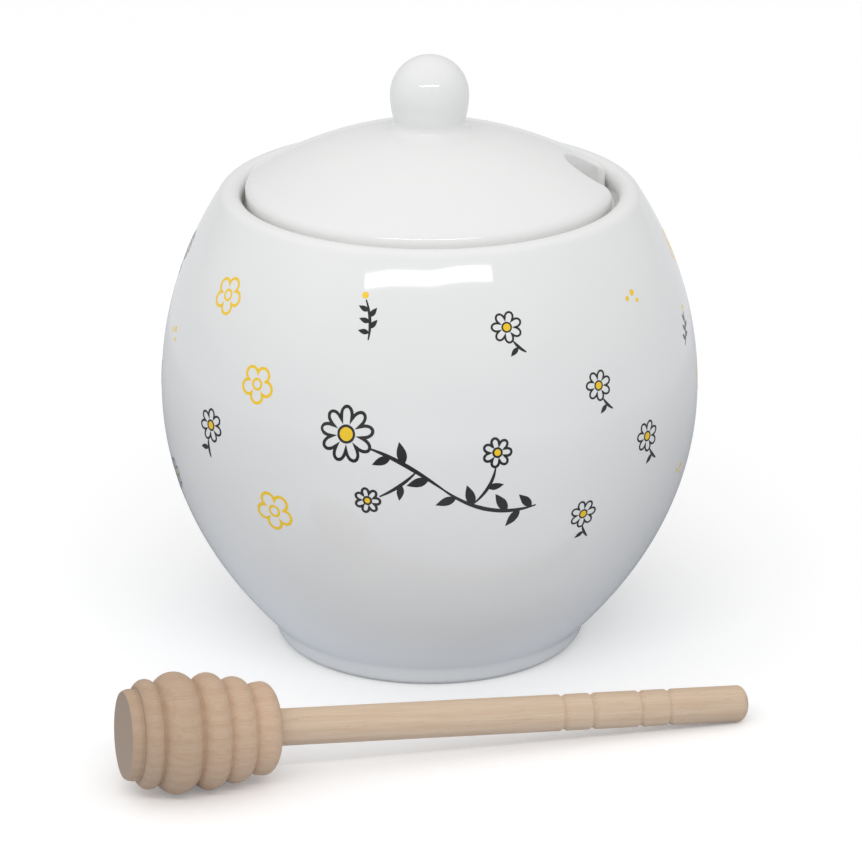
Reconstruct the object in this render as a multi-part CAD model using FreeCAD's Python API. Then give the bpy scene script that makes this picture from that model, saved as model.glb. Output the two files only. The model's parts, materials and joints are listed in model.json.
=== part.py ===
import FreeCAD, Part

import math
import os

# Porcelain honey pot with a loose lid and a turned honey dipper lying in front of it.
# Millimetres, +Z up. The origin is the centre of the pot's foot on the table, and -Y is the front.

# Pot, outside
belly_radius = 60.8
belly_height = 59.6
lip_height = 106.3
mouth_radius = 41.9
lip_inner_round = 2.7
lip_top_width = 1.7
lip_outer_round = 2.8
underbody_radius = 36.2
foot_height = 4.4
foot_taper = 1.4
foot_neck_round = 1.5
foot_edge_round = 2.4
foot_width = 4.4
foot_recess = 2.4
foot_inner_round = 0.6

# How far the wall carries on upright above and below the belly before it leans in,
# as shares of the heights from the belly to the lip, the foot, the ledge and the floor
upper_reach_share = 0.532
lower_reach_share = 0.535
inner_upper_reach_share = 0.5
inner_lower_reach_share = 0.545

# Pot, inside
wall_thickness = 4.2
floor_thickness = 4.6
floor_inset = 3.8
floor_round = 9.0
ledge_depth = 4.8
ledge_width = 3.4
ledge_thickness = 3.8
ledge_root = 4.9
ledge_round = 0.8
ledge_corner_round = 1.8

# Lid
rim_clearance = 0.7
rim_height = 6.0
rim_nose_round = 2.5
rim_foot_round = 0.7
dome_rise = 13.25
dome_bulge = 1.1
crown_thickness = 4.8
hollow_rise = 10.5
flange_clearance = 0.7
flange_thickness = 3.5
flange_depth = 6.0
flange_round = 1.0
knob_radius = 8.8
knob_stem = 7.1
knob_tuck = 5.3
neck_round = 1.6

# Notch in the lid's rim for the dipper's handle
notch_depth = 11.0
notch_radius = 7.5
notch_corner = 2.0
notch_azimuth_deg = 2.3

# Dipper
head_length = 33.3
head_radius = 13.0
handle_radius = 4.0
handle_reach = 107.0
handle_end_dome = 2.2
tenon_depth = 18.0
glue_gap = 0.05
head_end_ring = 1.0
groove_depth = 0.55
groove_width = 1.7
groove_end_offset = 18.4
groove_pair_gap = 6.6
groove_pair_offset = 17.7
dipper_gap = 9.2
dipper_lead = 87.4
dipper_yaw_deg = 16.0
table_clearance = 0.05

# Turned beads of the dipper's head, as shares of its length and its radius
valley_place_shares = (0.0, 0.078, 0.209, 0.4565, 0.644, 0.818)
valley_radius_shares = (0.711, 0.738, 0.804, 0.815, 0.800, 0.700)
crest_place_shares = (0.0375, 0.1456, 0.3335, 0.551, 0.7265)
crest_radius_shares = (0.750, 0.900, 1.0, 0.9615, 0.8755)
last_crest_place_share = 0.904
last_crest_radius_share = 0.7715
widest_crest = 2

full_turn_deg = 360.0
right_angle_deg = 90.0
half_share = 0.5
round_limit_share = 0.45
lip_round_share = 0.9
match_tolerance = 1e-4

axis_up = FreeCAD.Vector(0, 0, 1)
origin = FreeCAD.Vector(0, 0, 0)


def at(radius, height):
    """Point of a turned section: distance from the axis and height."""
    return FreeCAD.Vector(radius, 0, height)


def line(start, end):
    return Part.LineSegment(start, end).toShape()


def arc(start, middle, end):
    return Part.Arc(start, middle, end).toShape()


def bow(start, end, bulge):
    """Arc from start to end whose middle stands off the chord to its left by the bulge."""
    chord = end - start
    left = FreeCAD.Vector(-chord.z, 0, chord.x).normalize()
    return arc(start, (start + end) * half_share + left * bulge, end)


def conic(start, corner, end, weight=1):
    """Curve that leaves start towards the corner and arrives at end from it."""
    curve = Part.BezierCurve()
    curve.setPoles([start, corner, end])
    curve.setWeight(2, weight)
    return curve.toShape()


def ellipse_arc(centre, semi_radius, semi_height, angle):
    """Arc of an upright ellipse from its level axis through the angle given in radians."""
    half = angle * half_share
    start = centre + at(semi_radius, 0)
    corner = centre + at(semi_radius, semi_height * math.tan(half))
    end = centre + at(semi_radius * math.cos(angle), semi_height * math.sin(angle))
    return conic(start, corner, end, math.cos(half)), end


def turn(edges, base, direction):
    face = Part.Face(Part.Wire(Part.__sortEdges__(edges)))
    return face.revolve(base, direction, full_turn_deg)


def ring_edges(shape, radius, height):
    """Full circles about the upright axis with this radius at this height."""
    found = []
    for edge in shape.Edges:
        curve = None if edge.Degenerated else edge.Curve
        if isinstance(curve, Part.Circle):
            same_radius = abs(curve.Radius - radius) < match_tolerance
            same_height = abs(curve.Center.z - height) < match_tolerance
            if same_radius and same_height:
                found.append(edge)
    return found


def make_pot():
    ledge_height = lip_height - ledge_depth
    ledge_under = ledge_height - ledge_thickness
    ledge_radius = mouth_radius - ledge_width
    ledge_root_radius = mouth_radius + ledge_root
    lip_top_radius = mouth_radius + lip_inner_round
    lip_radius = lip_top_radius + lip_top_width
    lip_low = lip_height - lip_inner_round
    foot_radius = underbody_radius - foot_taper
    foot_inner_radius = foot_radius - foot_width
    floor_height = foot_recess + floor_thickness
    floor_radius = underbody_radius - floor_inset
    inner_radius = belly_radius - wall_thickness
    upper_reach = upper_reach_share * (lip_height - belly_height)
    lower_reach = lower_reach_share * (belly_height - foot_height)
    inner_upper_reach = inner_upper_reach_share * (ledge_under - belly_height)
    inner_lower_reach = inner_lower_reach_share * (belly_height - floor_height)
    shoulder_lean = math.atan2(lip_height - belly_height - upper_reach, belly_radius - lip_radius)
    lip_round_limit = lip_top_width * lip_round_share / math.tan(shoulder_lean * half_share)
    eighth = math.radians(right_angle_deg) * half_share
    lip_middle = at(lip_top_radius, lip_low) + at(-lip_inner_round, lip_inner_round) * math.cos(eighth)

    outer_upper = conic(
        at(belly_radius, belly_height),
        at(belly_radius, belly_height + upper_reach),
        at(lip_radius, lip_height))
    outer_lower = conic(
        at(underbody_radius, foot_height),
        at(belly_radius, belly_height - lower_reach),
        at(belly_radius, belly_height))
    inner_upper = conic(
        at(inner_radius, belly_height),
        at(inner_radius, belly_height + inner_upper_reach),
        at(ledge_root_radius, ledge_under))
    inner_lower = conic(
        at(floor_radius, floor_height),
        at(inner_radius, belly_height - inner_lower_reach),
        at(inner_radius, belly_height))

    edges = [
        line(at(0, foot_recess), at(foot_inner_radius, foot_recess)),
        line(at(foot_inner_radius, foot_recess), at(foot_inner_radius, 0)),
        line(at(foot_inner_radius, 0), at(foot_radius, 0)),
        line(at(foot_radius, 0), at(underbody_radius, foot_height)),
        outer_lower,
        outer_upper,
        line(at(lip_radius, lip_height), at(lip_top_radius, lip_height)),
        arc(at(lip_top_radius, lip_height), lip_middle, at(mouth_radius, lip_low)),
        line(at(mouth_radius, lip_low), at(mouth_radius, ledge_height)),
        line(at(mouth_radius, ledge_height), at(ledge_radius, ledge_height)),
        line(at(ledge_radius, ledge_height), at(ledge_radius, ledge_under)),
        line(at(ledge_radius, ledge_under), at(ledge_root_radius, ledge_under)),
        inner_upper,
        inner_lower,
        line(at(floor_radius, floor_height), at(0, floor_height)),
        line(at(0, floor_height), at(0, foot_recess)),
    ]
    pot = turn(edges, origin, axis_up)

    rounds = (
        (foot_inner_radius, 0, foot_inner_round),
        (foot_radius, 0, foot_edge_round),
        (underbody_radius, foot_height, foot_neck_round),
        (lip_radius, lip_height, min(lip_outer_round, lip_round_limit)),
        (ledge_radius, ledge_height, ledge_round),
        (ledge_radius, ledge_under, ledge_round),
        (ledge_root_radius, ledge_under, ledge_corner_round),
        (floor_radius, floor_height, floor_round),
    )
    for radius, height, size in rounds:
        pot = pot.makeFillet(size, ring_edges(pot, radius, height))
    return pot


def make_notch_cutter(rim_radius, bottom, top):
    """Prism that cuts the bite in the rim: a round end, straight sides and eased corners."""
    height = top - bottom
    centre = rim_radius - notch_depth + notch_radius
    reach = rim_radius + notch_corner
    corner_offset = notch_radius + notch_corner
    ease_start = math.sqrt((rim_radius - notch_corner) ** 2 - corner_offset ** 2)
    ease_side = corner_offset * rim_radius / (rim_radius - notch_corner)
    cutter = Part.makeCylinder(notch_radius, height, FreeCAD.Vector(centre, 0, bottom))
    slot = Part.makeBox(
        reach - centre, notch_radius + notch_radius, height,
        FreeCAD.Vector(centre, -notch_radius, bottom))
    cutter = cutter.fuse(slot)
    for side in (-1, 1):
        near = min(side * notch_radius, side * ease_side)
        block = Part.makeBox(
            reach - ease_start, ease_side - notch_radius, height,
            FreeCAD.Vector(ease_start, near, bottom))
        post = Part.makeCylinder(
            notch_corner, height, FreeCAD.Vector(ease_start, side * corner_offset, bottom))
        cutter = cutter.fuse(block.cut(post))
    cutter.rotate(origin, axis_up, notch_azimuth_deg)
    return cutter


def make_lid():
    seat = lip_height - ledge_depth
    ledge_radius = mouth_radius - ledge_width
    rim_radius = mouth_radius - rim_clearance
    rim_top = seat + rim_height
    flange_radius = ledge_radius - flange_clearance
    flange_inner = flange_radius - flange_thickness
    flange_foot = seat - flange_depth
    dome_top = rim_top + dome_rise
    knob_centre = dome_top + knob_stem
    knob_lower_reach = knob_stem + knob_tuck
    neck_angle = math.asin(knob_stem / knob_lower_reach)
    flange_edge_round = min(flange_round, flange_thickness * round_limit_share)
    hollow_top = dome_top - crown_thickness
    hollow_edge = hollow_top - hollow_rise
    hollow_round = (flange_inner ** 2 + hollow_rise ** 2) / (hollow_rise + hollow_rise)
    hollow_half = math.asin(flange_inner / hollow_round) * half_share
    hollow_middle = at(
        hollow_round * math.sin(hollow_half),
        hollow_top - hollow_round * (1 - math.cos(hollow_half)))
    quarter = math.radians(right_angle_deg)

    knob_upper, knob_top = ellipse_arc(at(0, knob_centre), knob_radius, knob_radius, quarter)
    knob_lower, neck = ellipse_arc(at(0, knob_centre), knob_radius, -knob_lower_reach, neck_angle)
    edges = [
        arc(at(0, hollow_top), hollow_middle, at(flange_inner, hollow_edge)),
        line(at(flange_inner, hollow_edge), at(flange_inner, flange_foot)),
        line(at(flange_inner, flange_foot), at(flange_radius, flange_foot)),
        line(at(flange_radius, flange_foot), at(flange_radius, seat)),
        line(at(flange_radius, seat), at(rim_radius, seat)),
        line(at(rim_radius, seat), at(rim_radius, rim_top)),
        bow(neck, at(rim_radius, rim_top), dome_bulge),
        knob_lower,
        knob_upper,
        line(knob_top, at(0, hollow_top)),
    ]
    lid = turn(edges, origin, axis_up)

    rounds = (
        (rim_radius, rim_top, rim_nose_round),
        (rim_radius, seat, rim_foot_round),
        (neck.x, neck.z, neck_round),
        (flange_inner, flange_foot, flange_edge_round),
        (flange_radius, flange_foot, flange_edge_round),
    )
    for radius, height, size in rounds:
        lid = lid.makeFillet(size, ring_edges(lid, radius, height))
    cutter = make_notch_cutter(rim_radius, flange_foot - flange_depth, dome_top)
    return lid.cut(cutter).Solids[0]


def along(place, radius):
    """Point of a turned section that lies along +X."""
    return FreeCAD.Vector(place, 0, radius)


def make_dipper_head():
    ring_radius = handle_radius + head_end_ring
    bore_radius = handle_radius + glue_gap
    bore_bottom = head_length - tenon_depth - glue_gap
    last_crest = along(last_crest_place_share * head_length, last_crest_radius_share * head_radius)
    valleys = [
        along(place * head_length, radius * head_radius)
        for place, radius in zip(valley_place_shares, valley_radius_shares)]
    crests = [
        along(place * head_length, radius * head_radius)
        for place, radius in zip(crest_place_shares, crest_radius_shares)]
    edges = [
        arc(first, crest, second)
        for first, crest, second in zip(valleys[:-1], crests, valleys[1:])]
    quarter_weight = math.cos(math.radians(right_angle_deg) * half_share)
    end_corner = along(head_length, last_crest.z)
    valley_corner = along(valleys[-1].x, last_crest.z)
    edges += [
        conic(valleys[-1], valley_corner, last_crest, quarter_weight),
        conic(last_crest, end_corner, along(head_length, ring_radius), quarter_weight),
        line(along(head_length, ring_radius), along(head_length, bore_radius)),
        line(along(head_length, bore_radius), along(bore_bottom, bore_radius)),
        line(along(bore_bottom, bore_radius), along(bore_bottom, 0)),
        line(along(bore_bottom, 0), origin),
        line(origin, valleys[0]),
    ]
    return turn(edges, origin, FreeCAD.Vector(1, 0, 0))


def make_dipper_handle():
    tip = head_length + handle_reach
    shoulder = tip - handle_end_dome
    root = head_length - tenon_depth
    half_width = groove_width * half_share
    first = tip - groove_end_offset
    middles = sorted(
        first - pair - step
        for pair in (0, groove_pair_offset)
        for step in (0, groove_pair_gap))
    corners = [along(root, 0), along(root, handle_radius)]
    for middle in middles:
        corners += [
            along(middle - half_width, handle_radius),
            along(middle, handle_radius - groove_depth),
            along(middle + half_width, handle_radius),
        ]
    corners.append(along(shoulder, handle_radius))
    edges = [line(start, end) for start, end in zip(corners[:-1], corners[1:])]
    quarter_weight = math.cos(math.radians(right_angle_deg) * half_share)
    edges += [
        conic(along(shoulder, handle_radius), along(tip, handle_radius), along(tip, 0),
              quarter_weight),
        line(along(tip, 0), along(root, 0)),
    ]
    return turn(edges, origin, FreeCAD.Vector(1, 0, 0))


def lay_on_table(shape):
    """Lays the dipper down so that its widest bead and the end of its handle meet the table."""
    bead_place = crest_place_shares[widest_crest] * head_length
    bead_radius = crest_radius_shares[widest_crest] * head_radius
    end_place = head_length + handle_reach - handle_end_dome
    tilt = math.atan((bead_radius - handle_radius) / (end_place - bead_place))
    lift = bead_place * math.sin(tilt) + bead_radius * math.cos(tilt) + table_clearance
    laid = shape.copy()
    laid.rotate(origin, FreeCAD.Vector(0, 1, 0), math.degrees(tilt))
    laid.translate(FreeCAD.Vector(-dipper_lead, -belly_radius - dipper_gap, lift))
    laid.rotate(origin, axis_up, dipper_yaw_deg)
    return laid


pieces = {
    "pot": make_pot(),
    "lid": make_lid(),
    "dipper_head": lay_on_table(make_dipper_head()),
    "dipper_handle": lay_on_table(make_dipper_handle()),
}

os.makedirs("parts", exist_ok=True)
for name, shape in pieces.items():
    shape.exportStep("parts/" + name + ".step")
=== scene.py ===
import json
import math
import random

import bmesh
import bpy
import numpy as np
from mathutils import Matrix, Vector

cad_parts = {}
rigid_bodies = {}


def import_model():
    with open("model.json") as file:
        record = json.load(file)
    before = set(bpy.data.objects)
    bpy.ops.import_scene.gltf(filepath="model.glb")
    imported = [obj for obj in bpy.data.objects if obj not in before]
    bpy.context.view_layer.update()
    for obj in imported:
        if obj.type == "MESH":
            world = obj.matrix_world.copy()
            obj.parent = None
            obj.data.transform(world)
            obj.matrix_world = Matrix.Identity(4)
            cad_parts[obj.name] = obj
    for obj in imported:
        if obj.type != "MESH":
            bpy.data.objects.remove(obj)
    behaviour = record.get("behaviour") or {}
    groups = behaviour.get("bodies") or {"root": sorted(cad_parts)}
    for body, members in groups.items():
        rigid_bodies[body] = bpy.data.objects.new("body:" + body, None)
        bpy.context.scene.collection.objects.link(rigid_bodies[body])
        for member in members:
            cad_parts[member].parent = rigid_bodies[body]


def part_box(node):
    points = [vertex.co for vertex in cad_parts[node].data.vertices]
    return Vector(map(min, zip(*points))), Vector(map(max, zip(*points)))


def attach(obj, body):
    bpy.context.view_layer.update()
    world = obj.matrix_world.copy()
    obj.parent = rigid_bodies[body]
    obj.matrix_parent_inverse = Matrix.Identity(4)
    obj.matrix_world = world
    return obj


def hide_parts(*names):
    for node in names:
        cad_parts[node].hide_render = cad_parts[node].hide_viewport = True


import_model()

# Porcelain honey pot with a loose lid, a flower print on its wall and a turned wooden dipper beside it.
# Metres, +Z up, in the frame of the solids. Sizes below are written in millimetres.

bl_info = {
    "name": "Honey pot",
    "version": (1, 0, 0),
    "blender": (4, 5, 0),
    "location": "View3D > Sidebar > Honey pot",
    "description": "Builds a printed porcelain honey pot with its lid and wooden dipper",
    "category": "Object",
}

MM = 0.001
POT_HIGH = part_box("pot")[1]
INK_ROOM = 0.035

# Steps of the meshes
TURN_SEGMENTS = 320
DIPPER_SEGMENTS = 192
CURVE_STEPS = 46
ROUND_STEPS = 7
MERGE_DISTANCE = 0.0002 * MM
CREASE_DEG = 42.0
PATH_RADIUS = 10.0 * MM

# Rounds of the glazed edges that stay the same whatever the sizes are
LIP_INNER_ROUND = 2.7 * MM
LIP_TOP_WIDTH = 1.7 * MM
LIP_OUTER_ROUND = 2.8 * MM
FOOT_TAPER = 1.4 * MM
FOOT_NECK_ROUND = 4.2 * MM
FOOT_EDGE_ROUND = 2.4 * MM
FOOT_WIDTH = 4.4 * MM
FOOT_RECESS = 2.4 * MM
FOOT_INNER_ROUND = 0.6 * MM
FOOT_STAND = 0.001 * MM
RECESS_ROUND = 1.2 * MM
FLOOR_INSET = 3.8 * MM
FLOOR_ROUND = 9.0 * MM
LEDGE_THICKNESS = 3.8 * MM
LEDGE_ROOT = 4.9 * MM
LEDGE_ROUND = 0.8 * MM
LEDGE_CORNER_ROUND = 1.8 * MM
LEDGE_SEAT_ROUND = 0.5 * MM

# How far the wall carries on upright above and below the belly before it leans in
UPPER_REACH_SHARE = 0.532
LOWER_REACH_SHARE = 0.535
INNER_UPPER_REACH_SHARE = 0.5
INNER_LOWER_REACH_SHARE = 0.545

# Turned beads of the dipper's head, as shares of its length and its radius
VALLEY_PLACE_SHARES = (0.0, 0.078, 0.209, 0.4565, 0.644, 0.818)
VALLEY_RADIUS_SHARES = (0.711, 0.738, 0.804, 0.815, 0.800, 0.700)
CREST_PLACE_SHARES = (0.0375, 0.1456, 0.3335, 0.551, 0.7265)
CREST_RADIUS_SHARES = (0.750, 0.900, 1.0, 0.9615, 0.8755)
LAST_CREST_PLACE_SHARE = 0.904
LAST_CREST_RADIUS_SHARE = 0.7715
WIDEST_CREST = 2
VALLEY_ROUND = 0.16 * MM
LEAF_WIDTH_SHARE = 0.42

# Levels between which most of a noise lies
NOISE_LOW, NOISE_HIGH = 0.3, 0.7


def linear(hex_colour):
    """Linear colour with alpha from an sRGB hex value."""
    parts = [int(hex_colour[i:i + 2], 16) / 255 for i in (1, 3, 5)]
    return tuple(c / 12.92 if c <= 0.04045 else ((c + 0.055) / 1.055) ** 2.4 for c in parts) + (1.0,)


def length(name, description, millimetres):
    """Length property in metres with its default written in millimetres."""
    return bpy.props.FloatProperty(
        name=name, description=description, default=millimetres * MM, min=0.0, precision=5,
        unit="LENGTH")


def bearing(name, description, degrees):
    """Angle property with its default written in degrees."""
    return bpy.props.FloatProperty(
        name=name, description=description, default=math.radians(degrees), subtype="ANGLE")


def colour(name, description, hex_colour):
    """Colour property with its default written as an sRGB hex value."""
    return bpy.props.FloatVectorProperty(
        name=name, description=description, default=linear(hex_colour), size=4, min=0.0, max=1.0,
        subtype="COLOR")


class HoneyPotSizes(bpy.types.PropertyGroup):
    """Sizes of the pot, outside and inside."""
    belly_radius: length("Belly radius", "Radius where the pot is widest", POT_HIGH.y / MM - INK_ROOM)
    belly_height: length("Belly height", "Height of the widest place above the table", 59.6)
    lip_height: length("Lip height", "Height of the lip above the table", POT_HIGH.z / MM)
    mouth_radius: length("Mouth radius", "Radius of the mouth that the lid sits in", 41.9)
    underbody_radius: length("Underbody radius", "Radius where the wall meets the foot", 36.2)
    foot_height: length("Foot height", "Height of the foot ring", 4.4)
    wall_thickness: length("Wall thickness", "Thickness of the wall at the belly", 4.2)
    floor_thickness: length("Floor thickness", "Thickness of the floor inside the foot ring", 4.6)
    ledge_depth: length("Ledge depth", "Depth of the lid's seat below the lip", 4.8)
    ledge_width: length("Ledge width", "Width of the ledge that carries the lid", 3.4)


class HoneyLidSizes(bpy.types.PropertyGroup):
    """Sizes of the lid with its knob and its notch."""
    rim_clearance: length("Rim clearance", "Gap between the lid's rim and the mouth", 0.7)
    rim_height: length("Rim height", "Height of the rim above the seat", 6.0)
    rim_nose_round: length("Rim nose", "Rounding of the rim's upper edge", 2.5)
    rim_foot_round: length("Rim foot", "Rounding of the rim's lower edge", 0.7)
    dome_rise: length("Dome rise", "Rise of the dome from the rim to the neck", 12.55)
    dome_bulge: length("Dome bulge", "How far the dome stands off a straight cone", 1.7)
    crown_thickness: length("Crown thickness", "Thickness of the lid under the knob", 4.1)
    hollow_rise: length("Hollow rise", "Rise of the hollow under the lid", 10.5)
    flange_clearance: length("Flange clearance", "Gap between the flange and the ledge", 0.7)
    flange_thickness: length("Flange thickness", "Thickness of the flange under the lid", 3.5)
    flange_depth: length("Flange depth", "Depth of the flange below the seat", 6.0)
    knob_radius: length("Knob radius", "Radius of the ball knob", 8.8)
    knob_stem: length("Knob stem", "Height of the knob's centre above the dome", 7.8)
    knob_tuck: length("Knob tuck", "How slowly the knob draws in towards its neck", 5.8)
    neck_round: length("Neck round", "Rounding between the knob and the dome", 2.2)
    notch_depth: length("Notch depth", "Depth of the notch from the rim", 11.0)
    notch_radius: length("Notch radius", "Radius of the notch's round end", 7.5)
    notch_corner: length("Notch corner", "Easing of the notch's two outer corners", 2.0)
    notch_edge: length("Notch edge", "Softness of the glazed edge round the notch", 0.9)
    notch_azimuth: bearing("Notch azimuth", "Direction of the notch from +X", 2.3)


class HoneyDipperSizes(bpy.types.PropertyGroup):
    """Sizes of the dipper and its place on the table."""
    head_length: length("Head length", "Length of the ribbed head", 33.3)
    head_radius: length("Head radius", "Radius of the widest bead", 13.0)
    handle_radius: length("Handle radius", "Radius of the handle", 4.0)
    handle_reach: length("Handle reach", "Length of the handle that shows", 107.0)
    handle_end_dome: length("Handle end", "Length of the handle's domed end", 2.2)
    tenon_depth: length("Tenon depth", "Depth of the handle in the head", 18.0)
    groove_depth: length("Groove depth", "Depth of the handle's V grooves", 0.55)
    groove_width: length("Groove width", "Width of the handle's V grooves", 1.7)
    groove_end_offset: length("Groove offset", "Distance of the last groove from the end", 18.4)
    groove_pair_gap: length("Groove gap", "Distance between the two grooves of a pair", 6.6)
    groove_pair_offset: length("Pair offset", "Distance between the two pairs of grooves", 17.7)
    table_front: length("Table front", "Distance of the dipper's axis in front of the pot's axis",
                        69.997)
    table_lead: length("Table lead", "How far the head lies to the left", 87.402)
    table_yaw: bearing("Table yaw", "Turn of the dipper on the table", 16.0)


class HoneyPrintSizes(bpy.types.PropertyGroup):
    """Sizes of the flower print on the pot's wall."""
    line_width: length("Line width", "Width of the drawn lines", 0.56)
    blossom_radius: length("Blossom radius", "Radius of the small blossoms", 3.5)
    spray_radius: length("Spray radius", "Radius of the large blossom in front", 6.4)
    spray_height: length("Spray height", "Height of the large spray above the table", 62.0)
    ink_thickness: length("Ink thickness", "How far the ink stands on the glaze", 0.03)
    seed: bpy.props.IntProperty(
        name="Seed", description="Seed of the small turns and shifts of the blossoms", default=11)


class HoneyFinishes(bpy.types.PropertyGroup):
    """Colours of the finishes."""
    glaze: colour("Glaze", "Glazed porcelain", "#F0F0EE")
    glaze_thick: colour("Thick glaze", "Glaze where it lies a little thicker", "#E9EAE9")
    biscuit: colour("Biscuit", "Unglazed porcelain of the foot and the lid's seat", "#E4E3DF")
    head_pale: colour("Pale head", "Early wood of the dipper's head", "#D2B69B")
    head_dark: colour("Dark head", "Late wood of the dipper's head", "#C7A78B")
    handle_pale: colour("Pale handle", "Early wood of the dipper's handle", "#D9C2A9")
    handle_dark: colour("Dark handle", "Late wood of the dipper's handle", "#CCB095")
    wood_fleck: colour("Wood fleck", "Short ray flecks of the wood", "#A98A6E")
    wood_end: colour("End grain", "Sawn end grain of the wood", "#B8A18D")
    ink_black: colour("Black ink", "Drawn lines of the print", "#171515")
    ink_yellow: colour("Yellow ink", "Blossom hearts and pale blossoms of the print", "#F4C913")
    # The floor's bounce colours are painted light and shade: brighter in front of the pot, darker beside
    # it, while the camera sees the floor white
    floor: colour("Floor", "Light that the pale floor throws up in front of the pot", "#DEE4ED")
    floor_side_painted_shade: colour("Floor at the sides", "Light that the floor throws up beside the pot", "#9DA0A6")
    floor_far: colour("Far floor", "Light that the floor throws up further away", "#C9CCD2")


class HoneyStage(bpy.types.PropertyGroup):
    """Camera and light of the stage."""
    camera_distance: length("Camera distance", "Distance of the camera from its aim", 1000.0)
    camera_elevation: bearing("Camera elevation", "Height of the camera as an angle", 20.768)
    camera_aim_x: length("Aim across", "Sideways place that the camera looks at", 0.32)
    camera_aim_z: length("Aim height", "Height that the camera looks at", 47.93)
    camera_lens: bpy.props.FloatProperty(
        name="Lens", description="Focal length on a 36 mm sensor", subtype="DISTANCE_CAMERA",
        default=183.15)
    key_power: bpy.props.FloatProperty(
        name="Key power", description="Power of the bent strip lamp in front", unit="POWER",
        default=2.0)


def add(tree, kind, inputs=None, **settings):
    """Adds a node with its settings, and fills or links its inputs."""
    node = tree.nodes.new(kind)
    for name, value in settings.items():
        setattr(node, name, value)
    for name, value in (inputs or {}).items():
        if isinstance(value, bpy.types.NodeSocket):
            tree.links.new(value, node.inputs[name])
        else:
            node.inputs[name].default_value = value
    return node


def number(tree, operation, *values, **settings):
    """Result of a math node."""
    node = add(tree, "ShaderNodeMath", dict(enumerate(values)), operation=operation, **settings)
    return node.outputs[0]


def vector_math(tree, operation, *values):
    """Vector that a vector math node gives."""
    node = add(tree, "ShaderNodeVectorMath", dict(enumerate(values)), operation=operation)
    return node.outputs["Vector"]


def vector_measure(tree, operation, *values):
    """Number that a vector math node gives."""
    node = add(tree, "ShaderNodeVectorMath", dict(enumerate(values)), operation=operation)
    return node.outputs["Value"]


def ranged(tree, value, low, high, start=0.0, end=1.0, easing="LINEAR"):
    """Level that goes from start to end while the value goes from low to high."""
    limits = {"Value": value, "From Min": low, "From Max": high, "To Min": start, "To Max": end}
    return add(tree, "ShaderNodeMapRange", limits, interpolation_type=easing).outputs[0]


def blend(tree, factor, first, second):
    """Number between two numbers."""
    return add(tree, "ShaderNodeMix", {"Factor": factor, 2: first, 3: second}).outputs[0]


def tint(tree, factor, first, second):
    """Colour between two colours."""
    first, second = (c if isinstance(c, bpy.types.NodeSocket) else tuple(c) for c in (first, second))
    return add(tree, "ShaderNodeMix", {"Factor": factor, 6: first, 7: second},
               data_type="RGBA").outputs[2]


def noise(tree, place, grain_mm, detail, roughness=0.5):
    """Noise with grains of the given size."""
    inputs = {"Vector": place, "Scale": 1 / (grain_mm * MM), "Detail": detail, "Roughness": roughness}
    return add(tree, "ShaderNodeTexNoise", inputs).outputs["Fac"]


def surface(tree, colour_socket, roughness, ior, relief_strength=0.0, relief_depth=0.0,
            relief=None):
    """Principled surface with a fine relief where one is given, linked to the material's output."""
    inputs = {"Base Color": colour_socket, "Roughness": roughness, "IOR": ior}
    if relief is not None:
        bump = add(tree, "ShaderNodeBump",
                   {"Strength": relief_strength, "Distance": relief_depth, "Height": relief})
        inputs["Normal"] = bump.outputs[0]
    shader = add(tree, "ShaderNodeBsdfPrincipled", inputs)
    add(tree, "ShaderNodeOutputMaterial", {"Surface": shader.outputs[0]})


def white_share(tree, gloss):
    """One for rays from the camera or through a surface, and the given share for reflections."""
    ray = add(tree, "ShaderNodeLightPath").outputs
    straight = number(tree, "MAXIMUM", ray["Is Camera Ray"], ray["Is Transmission Ray"])
    return number(tree, "MULTIPLY_ADD", ray["Is Glossy Ray"], gloss, straight, use_clamp=True)


def new_group(name, inputs):
    """New geometry node tree with the named inputs beside its geometry, and the sockets of its inputs."""
    tree = bpy.data.node_groups.new(name, "GeometryNodeTree")
    for label, kind in (("Geometry", "Geometry"), *inputs):
        tree.interface.new_socket(label, in_out="INPUT", socket_type="NodeSocket" + kind)
    tree.interface.new_socket("Geometry", in_out="OUTPUT", socket_type="NodeSocketGeometry")
    return tree, add(tree, "NodeGroupInput").outputs


def new_finish(name):
    """Empty material and its node tree."""
    material = bpy.data.materials.get(name)
    if material is not None:
        bpy.data.materials.remove(material)
    material = bpy.data.materials.new(name)
    material.use_nodes = True
    material.node_tree.nodes.clear()
    return material, material.node_tree


# Sections: runs of points in the plane through a turning axis, as distance from it and place along it

def line_run(*points):
    return np.array(points, float)


def conic_run(start, corner, end, weight=1.0, steps=CURVE_STEPS):
    """Curve that leaves start towards the corner and arrives at end from it."""
    t = np.linspace(0.0, 1.0, steps + 1)[:, None]
    first, middle, last = (1 - t) ** 2, 2 * weight * t * (1 - t), t ** 2
    total = first * np.array(start) + middle * np.array(corner) + last * np.array(end)
    return total / (first + middle + last)


def arc_run(start, middle, end, steps=CURVE_STEPS):
    """Arc of a circle through three points."""
    a, b, c = (np.array(p, float) for p in (start, middle, end))
    rows = 2 * np.array([b - a, c - a])
    centre = np.linalg.solve(rows, np.array([b @ b - a @ a, c @ c - a @ a]))
    angles = np.unwrap([math.atan2(*(p - centre)[::-1]) for p in (a, b, c)])
    sweep = np.linspace(angles[0], angles[2], steps + 1)
    radius = np.linalg.norm(a - centre)
    return centre + radius * np.stack([np.cos(sweep), np.sin(sweep)], 1)


def travelled(run):
    """Distance along a run at each of its points."""
    return np.concatenate([[0.0], np.cumsum(np.linalg.norm(np.diff(run, axis=0), axis=1))])


def walk(run, places):
    """Points of a run at the given distances along it."""
    reach = travelled(run)
    return np.stack([np.interp(places, reach, run[:, k]) for k in (0, 1)], 1)


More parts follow.
